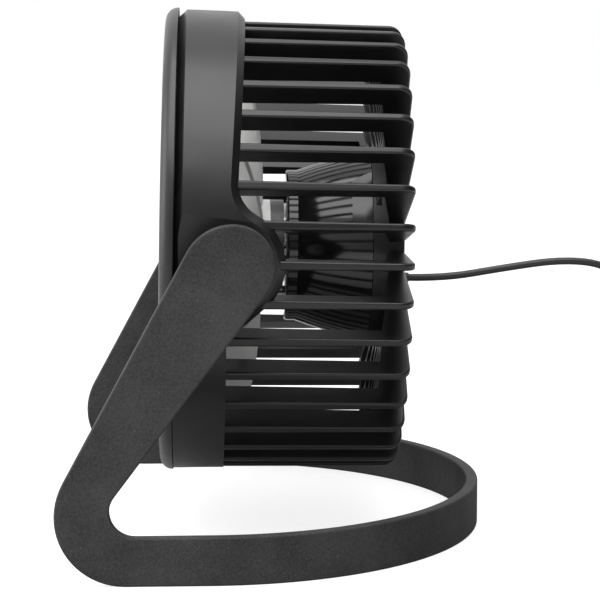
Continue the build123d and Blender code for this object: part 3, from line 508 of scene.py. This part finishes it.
# ------------------------------------------------------------------ the lead
@dataclass
class Lead:
    """The lead: its free run, the put-away coil and the short run to the plug.

    Sizes and places are in millimetres in the fan's frame, apart from exit, which is in metres.
    """

    radius: float = 1.3
    first_run: float = 13.0
    run: tuple[Point, ...] = (
        (0.3, 80.0, 88.4),
        (0.6, 101.0, 91.4),
        (0.8, 117.0, 89.6),
        (0.8, 128.0, 80.0),
        (0.6, 133.5, 64.0),
        (0.2, 135.0, 45.0),
        (-0.4, 135.0, 27.0),
        (-3.0, 133.5, 12.5),
        (-10.0, 131.0, 3.6),
        (-21.0, 128.6, 2.0),
    )
    tail: tuple[Point, ...] = (
        (-24.0, 164.2, 9.3),
        (-14.5, 165.6, 6.0),
        (-6.5, 166.0, 3.8),
        (2.0, 166.0, 3.8),
    )
    coil_centre: tuple[float, float] = (-33.0, 145.5)
    coil_middle_radius: float = 15.5
    coil_base: float = 0.6
    across: int = 3
    up: int = 4
    turns: float = 11.5
    points_per_turn: int = 16
    climb: float = 0.2  # share of a turn on which the coil steps up to its next layer
    spline_order: int = 3
    steps_per_point: int = 6
    bevel_steps: int = 3
    tip_depth: float = 0.05
    bend_reach: float = 84.0
    exit: Vector = field(default_factory=Vector)

    def coil(self) -> list[Point]:
        """The coil's turns, wound in layers, one on another.

        Within a layer the radius moves by (across - 1) pitches in (across - climb) turns. That is
        less than a pitch a turn, so neighbouring turns overlap instead of lying side by side.

        Returns:
            Points set off outwards, so that the spline between them runs at the turns' radius.
        """
        pitch = 2 * self.radius
        outer = self.coil_middle_radius + pitch * (self.across - 1) / 2
        inner = outer - pitch * (self.across - 1)
        stand_off = 1 / math.cos(math.pi / self.points_per_turn)
        centre_x, centre_y = self.coil_centre
        points = []
        for step in range(1, int(self.turns * self.points_per_turn)):
            turn = step / self.points_per_turn
            layer = min(int(turn / self.across), self.up - 1)
            share = min((turn - layer * self.across) / (self.across - self.climb), 1.0)
            outwards = layer % 2 == 1
            radius = inner + (outer - inner) * (share if outwards else 1 - share)
            rise = max(0.0, (turn - layer * self.across - (self.across - self.climb)) / self.climb)
            if layer == self.up - 1:
                rise = 0.0
            height = self.coil_base + self.radius + pitch * (layer + rise)
            angle = -math.pi / 2 - turn * 2 * math.pi
            points.append((centre_x + radius * stand_off * math.cos(angle),
                           centre_y + radius * stand_off * math.sin(angle), height))
        return points

    def route(self) -> bpy.types.Object:
        """The lead's own line, as a spline with no thickness.

        Returns:
            A curve object with the route's points as control points.
        """
        along = Vector(frame["joints"][1]["axis"])
        self.exit = self.relief_tip()
        points = [self.exit, self.exit - along * self.first_run * MM]
        points += [Vector(p) * MM for p in (*self.run, *self.coil(), *self.tail)]
        curve = bpy.data.curves.new("lead_route", "CURVE")
        curve.dimensions = "3D"
        spline = curve.splines.new("NURBS")
        spline.points.add(len(points) - 1)
        for control, point in zip(spline.points, points):
            control.co = (*point, 1.0)
        spline.order_u = self.spline_order
        spline.use_endpoint_u = True
        spline.resolution_u = self.steps_per_point
        return bpy.data.objects.new("lead_route", curve)

    def relief_tip(self) -> Vector:
        """Finds the middle of the strain relief's rear face.

        Returns:
            The point, in metres.
        """
        mesh = frame["nodes"]["strain_relief"].data
        along = Vector(frame["joints"][1]["axis"])
        last = min(vertex.co.dot(along) for vertex in mesh.vertices)
        rim = [vertex.co for vertex in mesh.vertices
               if vertex.co.dot(along) < last + self.tip_depth * MM]
        return sum(rim, Vector()) / len(rim)

    def build(self, workshop: Workshop) -> bpy.types.Object:
        """Args:
            workshop: gives the finish.

        Returns:
            The lead's mesh.
        """
        route = self.route()
        line = bpy.data.meshes.new_from_object(route)
        route.data.bevel_depth = self.radius * MM
        route.data.bevel_resolution = self.bevel_steps
        route.data.use_fill_caps = True
        lead = bpy.data.objects.new("lead", bpy.data.meshes.new_from_object(route))
        bpy.context.scene.collection.objects.link(lead)
        bpy.data.objects.remove(route)
        lead.data.materials.clear()
        lead.data.materials.append(workshop.material(JACKET))
        for face in lead.data.polygons:
            face.use_smooth = True
        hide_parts("power_cord", "cord_tail", "cord_coil")
        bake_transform(lead)
        return lead


# ------------------------------------------------------------------ the studio
@dataclass
class Studio:
    """Camera, floor and lamps.

    Lengths are in metres, angles in degrees, and the camera's lens and sensor in millimetres.
    """

    camera_place: Point = (0.75056, -0.02125, 0.17896)
    yaw: float = 2.3
    pitch: float = 7.7
    lens: float = 129.6
    sensor: float = 36.0
    floor_half: float = 4.0
    floor_roughness: float = 0.8
    floor_tone: float = 0.35
    floor_lift: float = 0.76
    glow_start: float = 0.1
    glow_full: float = 0.4
    bright_side: Point = (-0.30, -0.72, 0.62)
    dim_edge: float = -0.4
    bright_edge: float = 0.5
    dim_level: float = 0.06
    bright_level: float = 1.15
    aim: Point = (0.0, 0.0, 0.1)
    lamp_elevation: float = 72.0
    lamp_distance: float = 1.1
    lamp_depth: float = -0.2
    lamp_size: float = 1.2
    lamp_level: float = 3.4
    front_lamp: Point = (0.0, -1.2, 0.5)
    front_level: float = 2.6
    front_size: float = 0.9

    def camera(self) -> None:
        """Puts the camera where the fan is seen side on, a little from above."""
        data = bpy.data.cameras.new("camera")
        data.lens = self.lens
        data.sensor_width = self.sensor
        camera = bpy.data.objects.new("camera", data)
        camera.location = self.camera_place
        yaw, pitch = math.radians(self.yaw), math.radians(self.pitch)
        look = Vector((-math.cos(pitch) * math.cos(yaw), math.cos(pitch) * math.sin(yaw),
                       -math.sin(pitch)))
        camera.rotation_euler = look.to_track_quat("-Z", "Y").to_euler()
        bpy.context.scene.collection.objects.link(camera)
        bpy.context.scene.camera = camera

    def lamp(self, name: str, place: Point, size: float, level: float) -> None:
        """Adds a soft square lamp that points at the fan.

        Args:
            name: the lamp's name.
            place: where it hangs.
            size: its width and height.
            level: how bright it looks, 1 being white.
        """
        data = bpy.data.lights.new(name, "AREA")
        data.size = size
        data.energy = level * math.pi * size**2
        lamp = bpy.data.objects.new(name, data)
        lamp.location = place
        look = Vector(self.aim) - Vector(place)
        lamp.rotation_euler = look.to_track_quat("-Z", "Y").to_euler()
        bpy.context.scene.collection.objects.link(lamp)

    def floor(self) -> None:
        """Adds the pale floor, which keeps the fan's soft shadow."""
        mesh = bpy.data.meshes.new("floor")
        half = self.floor_half
        mesh.from_pydata([(-half, -half, 0), (half, -half, 0), (half, half, 0), (-half, half, 0)],
                         [], [(0, 1, 2, 3)])
        floor = bpy.data.objects.new("floor", mesh)
        bpy.context.scene.collection.objects.link(floor)
        tree = MaterialTree("pale_floor")
        tree.set(Base_Color=(*[self.floor_tone] * 3, 1.0), Roughness=self.floor_roughness,
                 Emission_Color=WHITE)
        rays = tree.nodes.new("ShaderNodeLightPath")
        # painted light: in reflections the floor glows as white as it looks only further away from
        # the fan
        away = tree.combine("LENGTH", tree.place).outputs["Value"]
        share = tree.remap(away, self.glow_start, self.glow_full)
        reflected_glow = tree.calculate("MULTIPLY", rays.outputs["Is Glossy Ray"], share)
        seen = tree.calculate("MAXIMUM", rays.outputs["Is Camera Ray"], reflected_glow)
        tree.feed(tree.calculate("MULTIPLY", seen, self.floor_lift), "Emission Strength")
        mesh.materials.append(tree.material)

    def world(self) -> None:
        """Surrounds the fan with white that is seen, and soft light that is brighter above."""
        world = bpy.data.worlds.new("studio")
        bpy.context.scene.world = world
        tree = NodeTree(world)
        soft = tree.nodes["Background"]
        white = tree.nodes.new("ShaderNodeBackground")
        white.inputs["Strength"].default_value = 1.0
        for background in (soft, white):
            background.inputs["Color"].default_value = WHITE
        # how far the direction that a ray looks in agrees with the brightest one
        direction = tree.nodes.new("ShaderNodeTexCoord").outputs["Generated"]
        along = tree.combine("DOT_PRODUCT", direction, self.bright_side).outputs["Value"]
        level = tree.remap(along, self.dim_edge, self.bright_edge, self.dim_level, self.bright_level)
        tree.put(level, soft.inputs["Strength"])
        rays = tree.nodes.new("ShaderNodeLightPath")
        mix = tree.nodes.new("ShaderNodeMixShader")
        for value, socket in zip((rays.outputs["Is Camera Ray"], soft.outputs[0], white.outputs[0]),
                                 mix.inputs):
            tree.put(value, socket)
        tree.put(mix.outputs[0], tree.nodes["World Output"].inputs["Surface"])

    def build(self) -> None:
        """Sets up the whole studio."""
        self.camera()
        self.floor()
        self.world()
        elevation = math.radians(self.lamp_elevation)
        above = (self.lamp_distance * math.cos(elevation), self.lamp_depth,
                 self.aim[2] + self.lamp_distance * math.sin(elevation))
        self.lamp("top_softbox", above, self.lamp_size, self.lamp_level)
        self.lamp("front_softbox", self.front_lamp, self.front_size, self.front_level)
        bpy.context.scene.view_settings.view_transform = "Standard"


def main() -> None:
    """Builds the looks in order."""
    logging.basicConfig(level=logging.INFO)
    workshop = Workshop()
    workshop.dress(CASE, "rear_housing", "front_grille", "rear_cap", "power_button")
    workshop.dress(STAND_GRAIN, "stand")
    workshop.dress(GLOSS_BLACK, "motor_shell")
    workshop.dress(BLADE, "impeller")
    workshop.dress(JACKET, "strain_relief", "usb_grip", "cord_tie")
    workshop.dress(PAD, "friction_rings")
    workshop.dress(STEEL, "motor_can", "motor_shaft", "armature_core", "motor_screws", "pivot_screws",
                   "pivot_washers", "usb_shell")
    workshop.dress(MAGNET, "motor_magnets", "motor_brushes")
    workshop.dress(SWITCH, "switch_body")
    workshop.dress(COPPER, "armature_windings", "commutator")
    workshop.dress(BRASS, "front_bushing", "rear_bushing", "motor_terminals")
    workshop.dress(IVORY, "motor_end_cap", "usb_tongue")
    workshop.dress(BOARD, "circuit_board")
    Lead().build(workshop)
    Studio().build()


if __name__ == "__main__":
    main()
